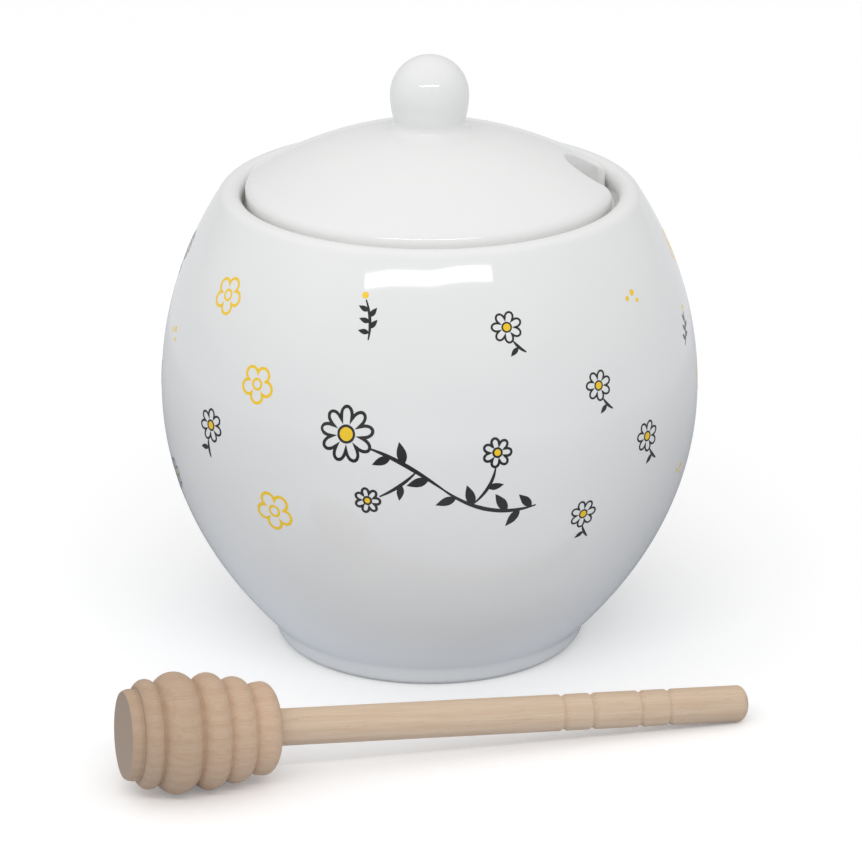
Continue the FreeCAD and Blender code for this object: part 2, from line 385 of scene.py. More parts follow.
def ease_corner(first, second, radius):
    """Cuts two runs back from their corner and returns them with the arc between them."""
    samples, reach_radii, least_steps = 700, 6, 1.5
    back, on = first[::-1], second
    spans = [min(travelled(run)[-1], radius * reach_radii) for run in (back, on)]
    places = [np.linspace(0.0, span, samples) for span in spans]
    near = [walk(run, place) for run, place in zip((back, on), places)]
    ways = [np.gradient(points, axis=0) * sign for points, sign in zip(near, (-1, 1))]
    ways = [way / np.linalg.norm(way, axis=1)[:, None] for way in ways]
    side = np.sign(ways[0][0, 0] * ways[1][0, 1] - ways[0][0, 1] * ways[1][0, 0])
    inset = [points + side * radius * np.stack([-way[:, 1], way[:, 0]], 1)
             for points, way in zip(near, ways)]
    apart = np.linalg.norm(inset[0][:, None] - inset[1][None], axis=2)
    i, j = np.unravel_index(np.argmin(apart), apart.shape)
    centre = (inset[0][i] + inset[1][j]) / 2
    angles = np.unwrap([math.atan2(*(p - centre)[::-1]) for p in (near[0][i], near[1][j])])
    sweep = np.linspace(angles[0], angles[1], ROUND_STEPS + 1)
    arc = centre + radius * np.stack([np.cos(sweep), np.sin(sweep)], 1)
    step = radius * abs(angles[1] - angles[0]) / ROUND_STEPS
    kept = []
    for run, start in ((back, places[0][i]), (on, places[1][j])):
        reach = travelled(run)
        rest = reach[reach > start + step * least_steps]
        kept.append(walk(run, np.concatenate([[start + step], rest])) if len(rest) else run[-1:])
    return kept[0][::-1], arc, kept[1]


def join_runs(runs, rounds):
    """One section from runs that meet end to end, with the corner after each run eased."""
    runs = list(runs)
    pieces = []
    for k, radius in enumerate(rounds):
        if radius > 0:
            runs[k], arc, runs[k + 1] = ease_corner(runs[k], runs[k + 1], radius)
            pieces += [runs[k], arc]
        else:
            pieces.append(runs[k])
    points = np.concatenate(pieces + [runs[-1]])
    fresh = np.linalg.norm(np.diff(points, axis=0), axis=1) > MERGE_DISTANCE
    return points[np.concatenate([[True], fresh])]


# Turning and finishing meshes

def turning_tree():
    """Geometry nodes that turn an upright section round the Z axis."""
    name = "turned_section"
    if name in bpy.data.node_groups:
        return bpy.data.node_groups[name]
    tree, given = new_group(name,
                            (("Segments", "Int"), ("Merge Distance", "Float"), ("Finish", "Material")))
    section = add(tree, "GeometryNodeMeshToCurve", {"Mesh": given["Geometry"]})
    place = add(tree, "GeometryNodeInputPosition")
    parts = add(tree, "ShaderNodeSeparateXYZ", {0: place.outputs[0]}).outputs
    flat = add(tree, "ShaderNodeCombineXYZ",
               {"X": number(tree, "SUBTRACT", parts["X"], PATH_RADIUS),
                "Y": number(tree, "MULTIPLY", parts["Z"], -1.0)})
    laid = add(tree, "GeometryNodeSetPosition",
               {"Geometry": section.outputs[0], "Position": flat.outputs[0]})
    path = add(tree, "GeometryNodeCurvePrimitiveCircle",
               {"Resolution": given["Segments"], "Radius": PATH_RADIUS})
    upright = add(tree, "GeometryNodeSetCurveNormal", {"Curve": path.outputs[0]}, mode="Z_UP")
    skin = add(tree, "GeometryNodeCurveToMesh",
               {"Curve": upright.outputs[0], "Profile Curve": laid.outputs[0]})
    closed = add(tree, "GeometryNodeMergeByDistance",
                 {"Geometry": skin.outputs[0], "Distance": given["Merge Distance"]})
    real = add(tree, "GeometryNodeRealizeInstances", {"Geometry": closed.outputs[0]})
    dressed = add(tree, "GeometryNodeSetMaterial",
                  {"Geometry": real.outputs[0], "Material": given["Finish"]})
    add(tree, "NodeGroupOutput", {"Geometry": dressed.outputs[0]})
    return tree


def baked(source):
    """Plain mesh of an object with its modifiers applied; the object is removed."""
    bpy.context.view_layer.update()
    graph = bpy.context.evaluated_depsgraph_get()
    mesh = bpy.data.meshes.new_from_object(source.evaluated_get(graph))
    drop(source)
    return mesh


def evaluated_mesh(source, tree, values):
    """Plain mesh that a geometry node tree makes of an object, which is then removed."""
    modifier = source.modifiers.new(tree.name, "NODES")
    modifier.node_group = tree
    for item in tree.interface.items_tree:
        if item.in_out == "INPUT" and item.name in values:
            modifier[item.identifier] = values[item.name]
    return baked(source)


def drop(thing):
    """Removes an object and the mesh it showed."""
    mesh = thing.data
    bpy.data.objects.remove(thing)
    if mesh.users == 0:
        bpy.data.meshes.remove(mesh)


def shown(name, mesh):
    """Object that shows a mesh, placed by the mesh alone."""
    mesh.name = name
    thing = bpy.data.objects.new(name, mesh)
    bpy.context.scene.collection.objects.link(thing)
    return thing


def close_mesh(mesh):
    """Merges doubles, turns all faces outwards and smooths what isn't a crease."""
    work = bmesh.new()
    work.from_mesh(mesh)
    bmesh.ops.remove_doubles(work, verts=work.verts, dist=MERGE_DISTANCE)
    bmesh.ops.recalc_face_normals(work, faces=work.faces)
    work.to_mesh(mesh)
    work.free()
    mesh.shade_smooth()
    mesh.set_sharp_from_angle(angle=math.radians(CREASE_DEG))


def turned_mesh(section, segments, finish):
    """Closed mesh of a section turned round the Z axis."""
    points = [(r, 0.0, z) for r, z in section]
    mesh = bpy.data.meshes.new("section")
    mesh.from_pydata(points, [(k, k + 1) for k in range(len(points) - 1)], [])
    values = {"Segments": segments, "Merge Distance": MERGE_DISTANCE, "Finish": finish}
    made = evaluated_mesh(shown("section", mesh), turning_tree(), values)
    close_mesh(made)
    return made


def ring_mesh(name, rings, finish):
    """Closed mesh through a stack of rings of points; a ring of one point is a pole."""
    starts = np.concatenate([[0], np.cumsum([len(ring) for ring in rings])])
    faces = []
    for k in range(len(rings) - 1):
        count = max(len(rings[k]), len(rings[k + 1]))
        upper = [starts[k] + i % len(rings[k]) for i in range(count + 1)]
        lower = [starts[k + 1] + i % len(rings[k + 1]) for i in range(count + 1)]
        for i in range(count):
            corners = (upper[i], upper[i + 1], lower[i + 1], lower[i])
            faces.append(tuple(int(c) for c in dict.fromkeys(corners)))
    mesh = bpy.data.meshes.new(name)
    mesh.from_pydata([tuple(p) for ring in rings for p in ring], [], faces)
    mesh.materials.append(finish)
    close_mesh(mesh)
    return mesh


def combined(first, second, operation):
    """Mesh of one solid joined with or cut by another; both objects are removed."""
    modifier = first.modifiers.new(operation, "BOOLEAN")
    modifier.operation = operation
    modifier.solver = "MANIFOLD"
    modifier.object = second
    mesh = baked(first)
    drop(second)
    return mesh


# Finishes

def glazed_porcelain(colours):
    """White porcelain dipped in clear gloss glaze: sharp reflections with a slow waver where the
    glaze ran, a touch of tone where it lies thicker, and matt biscuit where it was wiped off."""
    material, tree = new_finish("glazed_porcelain")
    waver_mm, cloud_mm, grit_mm = 16.0, 30.0, 0.35
    wiped_height, wiped_half, wiped_radius = 101.5 * MM, 0.45 * MM, 42.1 * MM
    bare_foot, glazed_foot = 0.5 * MM, 1.0 * MM
    thick_gloss, thin_gloss, biscuit_matt = 0.045, 0.085, 0.7
    relief_strength, relief_depth, ior = 0.3, 0.12 * MM, 1.5
    place = add(tree, "ShaderNodeTexCoord").outputs["Object"]
    cloud = noise(tree, place, cloud_mm, detail=2.0)
    tone = tint(tree, cloud, colours.glaze, colours.glaze_thick)
    height = add(tree, "ShaderNodeSeparateXYZ", {0: place}).outputs["Z"]
    foot = ranged(tree, height, bare_foot, glazed_foot, 1.0, 0.0, "SMOOTHSTEP")
    out = vector_measure(tree, "LENGTH", vector_math(tree, "MULTIPLY", place, (1.0, 1.0, 0.0)))
    near_seat = number(tree, "COMPARE", height, wiped_height, wiped_half)
    inside = number(tree, "LESS_THAN", out, wiped_radius)
    bare = number(tree, "MAXIMUM", foot, number(tree, "MULTIPLY", near_seat, inside))
    gloss = ranged(tree, cloud, NOISE_LOW, NOISE_HIGH, thick_gloss, thin_gloss)
    waver = noise(tree, place, waver_mm, detail=1.0, roughness=0.4)
    relief = blend(tree, bare, waver, noise(tree, place, grit_mm, detail=3.0))
    surface(tree, tint(tree, bare, tone, colours.biscuit), blend(tree, bare, gloss, biscuit_matt), ior,
            relief_strength, relief_depth, relief)
    return material


def turned_beech(name, pale, dark, colours, placement):
    """Beech turned on a lathe and sanded, no varnish: pale fibres along the axis, short darker ray
    flecks, soft year bands, fine tool rings round the axis, a slow darkening towards the flat end of
    the head and darker porous end grain."""
    material, tree = new_finish(name)
    fibre_mm, fibre_stretch = 0.4, 30.0
    fleck_mm, fleck_stretch = 0.42, 6.0
    band_mm, pore_mm, tool_mm = 2.6, 0.3, 0.45
    flat_end_tone, drift_start, drift_end = 0.78, 2.0 * MM, 31.0 * MM
    pith_offset, slow_along = (0.0, 9.0 * MM, 31.0 * MM), (0.06, 1.0, 1.0)
    sway_mm, sway_reach = 9.0, 5.0 * MM
    fibre_share, band_share, fleck_share, pore_share, tool_share = 0.95, 0.16, 0.3, 0.35, 0.12
    grain_range, fleck_range, pore_range, end_range = (0.25, 0.9), (0.66, 0.76), (0.05, 0.5), (0.86,
                                                                                               0.98)
    smooth_rough, fuzzy_rough = 0.52, 0.66
    relief_strength, relief_depth, ior = 0.4, 0.012 * MM, 1.45
    inward = placement.inverted()
    source = add(tree, "ShaderNodeTexCoord").outputs
    along = add(tree, "ShaderNodeMapping",
                {"Vector": source["Object"], "Location": inward.to_translation(),
                 "Rotation": inward.to_euler()}).outputs[0]
    stretched = vector_math(tree, "MULTIPLY", along, (1 / fibre_stretch, 1.0, 1.0))
    fibre = noise(tree, stretched, fibre_mm, detail=4.0, roughness=0.6)
    across = vector_math(tree, "MULTIPLY", vector_math(tree, "ADD", along, pith_offset), slow_along)
    sway = noise(tree, across, sway_mm, detail=2.0)
    swayed = number(tree, "MULTIPLY_ADD", sway, sway_reach, vector_measure(tree, "LENGTH", across))
    band = number(tree, "SINE", number(tree, "MULTIPLY", swayed, 2 * math.pi / (band_mm * MM)))
    band_level = ranged(tree, band, -1.0, 1.0, 0.0, band_share)
    level = number(tree, "MULTIPLY_ADD", fibre, fibre_share, band_level)
    grain = tint(tree, ranged(tree, level, *grain_range, easing="SMOOTHSTEP"), pale, dark)
    dashed = vector_math(tree, "MULTIPLY", along, (1 / fleck_stretch, 1.0, 1.0))
    fleck = noise(tree, dashed, fleck_mm, detail=1.0)
    fleck_level = ranged(tree, fleck, *fleck_range, 0.0, fleck_share)
    flecked = tint(tree, fleck_level, grain, colours.wood_fleck)
    axis = placement.to_3x3() @ Vector((1.0, 0.0, 0.0))
    square = number(tree, "ABSOLUTE", vector_measure(tree, "DOT_PRODUCT", source["Normal"], axis))
    end_level = ranged(tree, square, *end_range, easing="SMOOTHSTEP")
    pores = add(tree, "ShaderNodeTexVoronoi", {"Vector": across, "Scale": 1 / (pore_mm * MM)})
    pore_level = ranged(tree, pores.outputs["Distance"], *pore_range, pore_share, 0.0)
    end_grain = tint(tree, pore_level, colours.wood_end, colours.wood_fleck)
    wood = tint(tree, end_level, flecked, end_grain)
    length_along = add(tree, "ShaderNodeSeparateXYZ", {0: along}).outputs["X"]
    drift = ranged(tree, length_along, drift_start, drift_end, flat_end_tone, 1.0)
    drifted = add(tree, "ShaderNodeHueSaturation", {"Color": wood, "Value": drift})
    tool = number(tree, "SINE", number(tree, "MULTIPLY", length_along, 2 * math.pi / (tool_mm * MM)))
    relief = number(tree, "MULTIPLY_ADD", tool, tool_share, fibre)
    rough = ranged(tree, fibre, NOISE_LOW, NOISE_HIGH, smooth_rough, fuzzy_rough)
    surface(tree, drifted.outputs[0], rough, ior, relief_strength, relief_depth, relief)
    return material


def ceramic_transfer(name, ink):
    """Screen-printed ceramic ink fired into the glaze: flat strong colour with a slight unevenness
    of the ink film, nearly as glossy as the glaze round it."""
    material, tree = new_finish(name)
    film_mm, thick_gloss, thin_gloss, ior = 0.9, 0.1, 0.16, 1.5
    thin_gain, thin_lift = 1.1, 0.012
    place = add(tree, "ShaderNodeTexCoord").outputs["Object"]
    film = noise(tree, place, film_mm, detail=3.0)
    thin = tuple(min(1.0, c * thin_gain + thin_lift) for c in ink[:3]) + (1.0,)
    surface(tree, tint(tree, film, ink, thin),
            ranged(tree, film, NOISE_LOW, NOISE_HIGH, thick_gloss, thin_gloss), ior)
    return material


def porcelain_finish(context):
    found = bpy.data.materials.get("glazed_porcelain")
    return found or glazed_porcelain(context.scene.honey_finishes)


# Pot and lid

def pot_section(pot):
    """Section of the pot from the middle of its underside to the middle of its floor inside."""
    ledge_height = pot.lip_height - pot.ledge_depth
    ledge_under = ledge_height - LEDGE_THICKNESS
    ledge_radius = pot.mouth_radius - pot.ledge_width
    root_radius = pot.mouth_radius + LEDGE_ROOT
    lip_top = pot.mouth_radius + LIP_INNER_ROUND
    lip_radius = lip_top + LIP_TOP_WIDTH
    lip_low = pot.lip_height - LIP_INNER_ROUND
    lip_way = LIP_INNER_ROUND * math.sqrt(0.5)
    foot_radius = pot.underbody_radius - FOOT_TAPER
    foot_inner = foot_radius - FOOT_WIDTH
    floor_height = FOOT_RECESS + pot.floor_thickness
    floor_radius = pot.underbody_radius - FLOOR_INSET
    inner_radius = pot.belly_radius - pot.wall_thickness
    upper_reach = UPPER_REACH_SHARE * (pot.lip_height - pot.belly_height)
    lower_reach = LOWER_REACH_SHARE * (pot.belly_height - pot.foot_height)
    inner_upper = INNER_UPPER_REACH_SHARE * (ledge_under - pot.belly_height)
    inner_lower = INNER_LOWER_REACH_SHARE * (pot.belly_height - floor_height)
    belly = (pot.belly_radius, pot.belly_height)
    inner_belly = (inner_radius, pot.belly_height)
    runs = [
        line_run((0, FOOT_RECESS), (foot_inner, FOOT_RECESS)),
        line_run((foot_inner, FOOT_RECESS), (foot_inner, FOOT_STAND)),
        line_run((foot_inner, FOOT_STAND), (foot_radius, FOOT_STAND)),
        line_run((foot_radius, FOOT_STAND), (pot.underbody_radius, pot.foot_height)),
        conic_run((pot.underbody_radius, pot.foot_height),
                  (pot.belly_radius, pot.belly_height - lower_reach), belly),
        conic_run(belly, (pot.belly_radius, pot.belly_height + upper_reach),
                  (lip_radius, pot.lip_height)),
        line_run((lip_radius, pot.lip_height), (lip_top, pot.lip_height)),
        arc_run((lip_top, pot.lip_height), (lip_top - lip_way, lip_low + lip_way),
                (pot.mouth_radius, lip_low), ROUND_STEPS * 2),
        line_run((pot.mouth_radius, lip_low), (pot.mouth_radius, ledge_height)),
        line_run((pot.mouth_radius, ledge_height), (ledge_radius, ledge_height)),
        line_run((ledge_radius, ledge_height), (ledge_radius, ledge_under)),
        line_run((ledge_radius, ledge_under), (root_radius, ledge_under)),
        conic_run((root_radius, ledge_under), (inner_radius, pot.belly_height + inner_upper),
                  inner_belly),
        conic_run(inner_belly, (inner_radius, pot.belly_height - inner_lower),
                  (floor_radius, floor_height)),
        line_run((floor_radius, floor_height), (0, floor_height)),
    ]
    rounds = (RECESS_ROUND, FOOT_INNER_ROUND, FOOT_EDGE_ROUND, FOOT_NECK_ROUND, 0, LIP_OUTER_ROUND, 0,
              0, LEDGE_SEAT_ROUND, LEDGE_ROUND, LEDGE_ROUND, LEDGE_CORNER_ROUND, 0, FLOOR_ROUND)
    return join_runs(runs, rounds)


class HONEY_OT_pot(bpy.types.Operator):
    """Turns the porcelain pot from its section"""
    bl_idname = "honey.pot"
    bl_label = "Pot"

    def execute(self, context):
        section = pot_section(context.scene.honey_pot)
        pot = shown("pot_body", turned_mesh(section, TURN_SEGMENTS, porcelain_finish(context)))
        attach(pot, "pot")
        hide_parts("pot")
        return {"FINISHED"}


def lid_outline(lid, rim_radius):
    """Rim of the lid from above with the bite of the notch: points, outward ways and edge rounds."""
    rim_steps, corner_steps, side_steps, end_steps = 384, 14, 2, 60
    middle = rim_radius - lid.notch_depth + lid.notch_radius
    offset = lid.notch_radius + lid.notch_corner
    ease = math.sqrt((rim_radius - lid.notch_corner) ** 2 - offset ** 2)
    tangent = math.atan2(offset, ease)
    quarter = math.pi / 2
    arcs = (
        ((0, 0), rim_radius, tangent, 2 * math.pi - tangent, rim_steps, 1, (1, 1)),
        ((ease, -offset), lid.notch_corner, -tangent, quarter, corner_steps, 1, (1, 0)),
        None,
        ((middle, 0), lid.notch_radius, -quarter, -3 * quarter, end_steps, -1, (0, 0)),
        None,
        ((ease, offset), lid.notch_corner, -quarter, tangent, corner_steps, 1, (0, 1)),
    )
    points, ways, shares = [], [], []
    for k, arc in enumerate(arcs):
        if arc is None:
            side = -1 if k == 2 else 1
            start, end = (ease, middle) if k == 2 else (middle, ease)
            for t in np.arange(side_steps) / side_steps:
                points.append((start + (end - start) * t, side * lid.notch_radius))
                ways.append((0, -side))
                shares.append(0)
            continue
        centre, radius, first, last, steps, sign, share = arc
        for t in np.arange(steps) / steps:
            angle = first + (last - first) * t
            way = np.array((math.cos(angle), math.sin(angle)))
            smooth = t * t * (3 - 2 * t)
            points.append(np.array(centre) + radius * way)
            ways.append(sign * way)
            shares.append(share[0] + (share[1] - share[0]) * smooth)
    turn = lid.notch_azimuth
    spin = np.array(((math.cos(turn), math.sin(turn)), (-math.sin(turn), math.cos(turn))))
    rounds = lid.notch_edge + (lid.rim_nose_round - lid.notch_edge) * np.array(shares)
    return np.array(points) @ spin, np.array(ways) @ spin, rounds, rim_steps


def lid_crown(lid, rim_radius, rim_top):
    """Runs of the lid's upper side: the knob with its neck, and the dome with its centre and radius."""
    ball_steps, tuck_steps = 22, 16
    dome_top = rim_top + lid.dome_rise
    knob_centre = dome_top + lid.knob_stem
    drop_reach = lid.knob_stem + lid.knob_tuck
    angle = math.asin(lid.knob_stem / drop_reach)
    neck = (lid.knob_radius * math.cos(angle), dome_top)
    belly = (lid.knob_radius, knob_centre)
    upper = conic_run((0, knob_centre + lid.knob_radius),
                      (lid.knob_radius, knob_centre + lid.knob_radius),
                      belly, math.sqrt(0.5), ball_steps)
    lower = conic_run(belly, (lid.knob_radius, knob_centre - drop_reach * math.tan(angle / 2)), neck,
                      math.cos(angle / 2), tuck_steps)
    chord = np.array((rim_radius, rim_top)) - neck
    left = np.array((-chord[1], chord[0])) / np.linalg.norm(chord)
    half = np.linalg.norm(chord) / 2
    radius = (half ** 2 + lid.dome_bulge ** 2) / (2 * lid.dome_bulge)
    middle = np.array(neck) + chord / 2
    centre = middle + left * (lid.dome_bulge - radius)
    dome = arc_run(neck, middle + left * lid.dome_bulge, (rim_radius, rim_top))
    return [upper, lower, dome], centre, radius


def lid_body(lid, seat, rim_radius, finish):
    """Upper body of the lid: knob, dome and notched rim with soft edges, flat underneath."""
    band, inner_radius = 1.75 * MM, 24.0 * MM
    blend_steps, blend_power, edge_steps, wall_shares = 17, 1.4, 10, (0.12, 0.5, 0.88, 1.0)
    blend_shares = 1 - np.linspace(0.0, 1.0, blend_steps)[1:] ** blend_power
    rim_top = seat + lid.rim_height
    (upper, lower, dome), centre, radius = lid_crown(lid, rim_radius, rim_top)
    crown = join_runs([upper, lower, dome], (0, lid.neck_round))
    crown = crown[:int(np.argmax(travelled(crown) * (crown[:, 0] < inner_radius))) + 1]
    points, ways, rounds, rim_steps = lid_outline(lid, rim_radius)
    count = len(points)
    angles = math.pi + lid.notch_azimuth + 2 * math.pi * (np.arange(count) - rim_steps / 2) / count
    spokes = np.stack([np.cos(angles), np.sin(angles)], 1)

    def dome_height(flat):
        out = np.linalg.norm(flat, axis=1)
        return centre[1] + np.sqrt(radius ** 2 - (out - centre[0]) ** 2)

    def ring(flat, heights):
        return np.concatenate([flat, np.broadcast_to(heights, (len(flat),))[:, None]], 1)

    rings = [np.array([[0.0, 0.0, crown[0, 1]]])]
    rings += [ring(spokes * r, z) for r, z in crown[1:]]
    inset = points - ways * band
    for share in blend_shares:
        flat = inset + (spokes * inner_radius - inset) * share
        rings.append(ring(flat, dome_height(flat)))
    out = np.linalg.norm(points, axis=1)
    fall = (out - centre[0]) / np.sqrt(radius ** 2 - (out - centre[0]) ** 2)
    slope = fall * np.sum(points * ways, axis=1) / out
    lean = np.sqrt(1 + slope ** 2)
    top_angle = math.pi / 2 + np.arctan(slope)
    for share in np.linspace(0.0, 1.0, edge_steps):
        angle = top_angle + (math.pi - top_angle) * share
        depth = rounds * (1 + np.cos(angle))
        drop_by = slope * (depth - rounds) + rounds * (lean - np.sin(angle))
        flat = points - ways * depth[:, None]
        rings.append(ring(flat, dome_height(flat) - drop_by))
    wall_top = rings[-1][:, 2]
    foot = lid.rim_foot_round
    for share in wall_shares:
        rings.append(ring(points, wall_top + (seat + foot - wall_top) * share))
    for share in np.linspace(0.0, 1.0, ROUND_STEPS)[1:]:
        angle = share * math.pi / 2
        rings.append(ring(points - ways * foot * (1 - math.cos(angle)),
                          seat + foot * (1 - math.sin(angle))))
    rings.append(ring(inset, seat))
    rings.append(ring(spokes * inner_radius, seat))
    rings.append(np.array([[0.0, 0.0, seat]]))
    return shown("lid_upper", ring_mesh("lid_upper", rings, finish)), points, ways


def lid_under(lid, pot, seat, rim_radius, finish, points, ways):
    """Flange under the lid, open at the notch, and the hollow that is taken out of the lid."""
    overlap, clear, edge, far_share = 1.6 * MM, 0.12 * MM, 1.0 * MM, 1.4
    flange_radius = pot.mouth_radius - pot.ledge_width - lid.flange_clearance
    inner = flange_radius - lid.flange_thickness
    foot = seat - lid.flange_depth
    core = inner - overlap
    section = join_runs([
        line_run((core, seat + overlap), (core, foot)),
        line_run((core, foot), (flange_radius, foot)),
        line_run((flange_radius, foot), (flange_radius, seat + overlap)),
        line_run((flange_radius, seat + overlap), (core, seat + overlap)),
    ], (0, edge, 0))
    flange = shown("lid_flange", turned_mesh(section, TURN_SEGMENTS, finish))
    bite = np.linalg.norm(points, axis=1) < rim_radius - clear
    order = np.where(bite)[0]
    shifted = points - ways * clear
    far = np.array((math.cos(lid.notch_azimuth), math.sin(lid.notch_azimuth))) * rim_radius * far_share
    plan = np.concatenate([shifted[order], far[None]])
    levels = (foot - overlap, seat + 2 * overlap)
    rings = [np.concatenate([plan, np.full((len(plan), 1), z)], 1) for z in levels]
    caps = [np.array([[*shifted[order].mean(0), z]]) for z in levels]
    cutter = shown("notch_cutter", ring_mesh("notch_cutter", [caps[0], *rings, caps[1]], finish))
    flange = shown("lid_flange", combined(flange, cutter, "DIFFERENCE"))
    hollow_top = seat + lid.rim_height + lid.dome_rise - lid.crown_thickness
    hollow_edge = hollow_top - lid.hollow_rise
    hollow_radius = (inner ** 2 + lid.hollow_rise ** 2) / (2 * lid.hollow_rise)
    half = math.asin(inner / hollow_radius) / 2
    cap_middle = (hollow_radius * math.sin(half), hollow_top - hollow_radius * (1 - math.cos(half)))
    below = foot - 3 * overlap
    diagonal = edge * math.sqrt(0.5)
    section = join_runs([
        line_run((0, below), (inner + edge, below)),
        line_run((inner + edge, below), (inner + edge, foot)),
        arc_run((inner + edge, foot), (inner + edge - diagonal, foot + edge - diagonal),
                (inner, foot + edge),
                ROUND_STEPS),
        line_run((inner, foot + edge), (inner, hollow_edge)),
        arc_run((inner, hollow_edge), cap_middle, (0, hollow_top)),
    ], (0, 0, 0, edge))
    hollow = shown("lid_hollow", turned_mesh(section, TURN_SEGMENTS, finish))
    return flange, hollow


class HONEY_OT_lid(bpy.types.Operator):
    """Builds the lid with its knob, its notched rim and the flange under it"""
    bl_idname = "honey.lid"
    bl_label = "Lid"

    def execute(self, context):
        pot, lid = context.scene.honey_pot, context.scene.honey_lid
        finish = porcelain_finish(context)
        seat = pot.lip_height - pot.ledge_depth
        rim_radius = pot.mouth_radius - lid.rim_clearance
        body, points, ways = lid_body(lid, seat, rim_radius, finish)
        flange, hollow = lid_under(lid, pot, seat, rim_radius, finish, points, ways)
        whole = shown("lid_whole", combined(body, flange, "UNION"))
        mesh = combined(whole, hollow, "DIFFERENCE")
        close_mesh(mesh)
        piece = shown("lid_body", mesh)
        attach(piece, "lid")
        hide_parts("lid")
        return {"FINISHED"}


# Dipper

def head_section(dipper):
    """Section of the dipper's head along its axis, from the flat end to the bottom of its bore."""
    ring, gap = 1.0 * MM, 0.05 * MM
    bead_steps, rise_steps, fall_steps = 14, 10, 12
    size, girth = dipper.head_length, dipper.head_radius
    bore = dipper.handle_radius + gap
    bottom = size - dipper.tenon_depth - gap
    valleys = [(r * girth, p * size) for p, r in zip(VALLEY_PLACE_SHARES, VALLEY_RADIUS_SHARES)]
    crests = [(r * girth, p * size) for p, r in zip(CREST_PLACE_SHARES, CREST_RADIUS_SHARES)]
    last = (LAST_CREST_RADIUS_SHARE * girth, LAST_CREST_PLACE_SHARE * size)
    weight = math.sqrt(0.5)
    runs = [line_run((0, 0), valleys[0])]
    runs += [arc_run(a, crest, b, bead_steps) for a, crest, b in zip(valleys[:-1], crests, valleys[1:])]
    runs += [
        conic_run(valleys[-1], (last[0], valleys[-1][1]), last, weight, rise_steps),
        conic_run(last, (last[0], size), (dipper.handle_radius + ring, size), weight, fall_steps),
        line_run((dipper.handle_radius + ring, size), (bore, size)),
        line_run((bore, size), (bore, bottom)),
        line_run((bore, bottom), (0, bottom)),
    ]
    beads = len(CREST_PLACE_SHARES)
    rounds = [VALLEY_ROUND] * (beads + 1) + [0, 0, 0, 0]
    return join_runs(runs, rounds)


def handle_section(dipper):
    """Section of the handle along its axis, from its end in the head to its domed tip."""
    dome_steps = 16
    tip = dipper.head_length + dipper.handle_reach
    shoulder = tip - dipper.handle_end_dome
    root = dipper.head_length - dipper.tenon_depth
    girth, half = dipper.handle_radius, dipper.groove_width / 2
    first = tip - dipper.groove_end_offset
    middles = sorted(first - pair - step for pair in (0, dipper.groove_pair_offset)
                     for step in (0, dipper.groove_pair_gap))
    corners = [(0, root), (girth, root)]
    for middle in middles:
        corners += [(girth, middle - half), (girth - dipper.groove_depth, middle),
                    (girth, middle + half)]
    corners.append((girth, shoulder))
    runs = [line_run(a, b) for a, b in zip(corners[:-1], corners[1:])]
    runs.append(conic_run((girth, shoulder), (girth, tip), (0, tip), math.sqrt(0.5), dome_steps))
    rounds = [0] + [VALLEY_ROUND] * (3 * len(middles)) + [0]
    return join_runs(runs, rounds)


def dipper_placement(dipper):
    """Lays the dipper, turned along +X, on the table in front of the pot."""
    clearance = 0.05 * MM
    bead_place = CREST_PLACE_SHARES[WIDEST_CREST] * dipper.head_length
    bead_radius = CREST_RADIUS_SHARES[WIDEST_CREST] * dipper.head_radius
    end_place = dipper.head_length + dipper.handle_reach - dipper.handle_end_dome
    tilt = math.atan((bead_radius - dipper.handle_radius) / (end_place - bead_place))
    lift = bead_place * math.sin(tilt) + bead_radius * math.cos(tilt) + clearance
    return (Matrix.Rotation(dipper.table_yaw, 4, "Z")
            @ Matrix.Translation((-dipper.table_lead, -dipper.table_front, lift))
            @ Matrix.Rotation(tilt, 4, "Y"))


class HONEY_OT_dipper(bpy.types.Operator):
    """Turns the dipper's ribbed head and its handle and lays them on the table"""
    bl_idname = "honey.dipper"
    bl_label = "Dipper"

    def execute(self, context):
        dipper = context.scene.honey_dipper
        placement = dipper_placement(dipper)
        colours = context.scene.honey_finishes
        level = Matrix.Rotation(math.pi / 2, 4, "Y")
        for name, node, section, pale, dark in (
                ("dipper_ribbed_head", "dipper_head", head_section(dipper), colours.head_pale,
                 colours.head_dark),
                ("dipper_rod", "dipper_handle", handle_section(dipper), colours.handle_pale,
                 colours.handle_dark)):
            finish = turned_beech("turned_beech_" + node, pale, dark, colours, placement)
            mesh = turned_mesh(section, DIPPER_SEGMENTS, finish)
            mesh.transform(placement @ level)
            piece = shown(name, mesh)
            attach(piece, "dipper")
            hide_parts(node)
        return {"FINISHED"}


# Flower print

def add_line(ink, path, widths, closed=False):
    """Pen line along a flat path as a thin closed slab; the lift tells its upper side."""
    work, lift = ink
    path = np.array(path, float)
    widths = np.broadcast_to(np.array(widths, float), (len(path),))
    if closed:
        way = np.roll(path, -1, axis=0) - np.roll(path, 1, axis=0)
    else:
        way = np.gradient(path, axis=0)
    way = way / np.linalg.norm(way, axis=1)[:, None]
    side = np.stack([-way[:, 1], way[:, 0]], 1) * widths[:, None] / 2
    rows = []
    for left, right in zip(path + side, path - side):
        row = []
        for point, level in ((left, 0.0), (right, 0.0), (right, 1.0), (left, 1.0)):
            vert = work.verts.new((*point, 0.0))
            vert[lift] = level
            row.append(vert)
        rows.append(row)
    pairs = list(zip(rows[:-1], rows[1:]))
    if closed:
        pairs.append((rows[-1], rows[0]))
    else:
        work.faces.new(rows[0][::-1])
        work.faces.new(rows[-1])
    for a, b in pairs:
        for k in range(4):
            work.faces.new((a[k], a[(k + 1) % 4], b[(k + 1) % 4], b[k]))


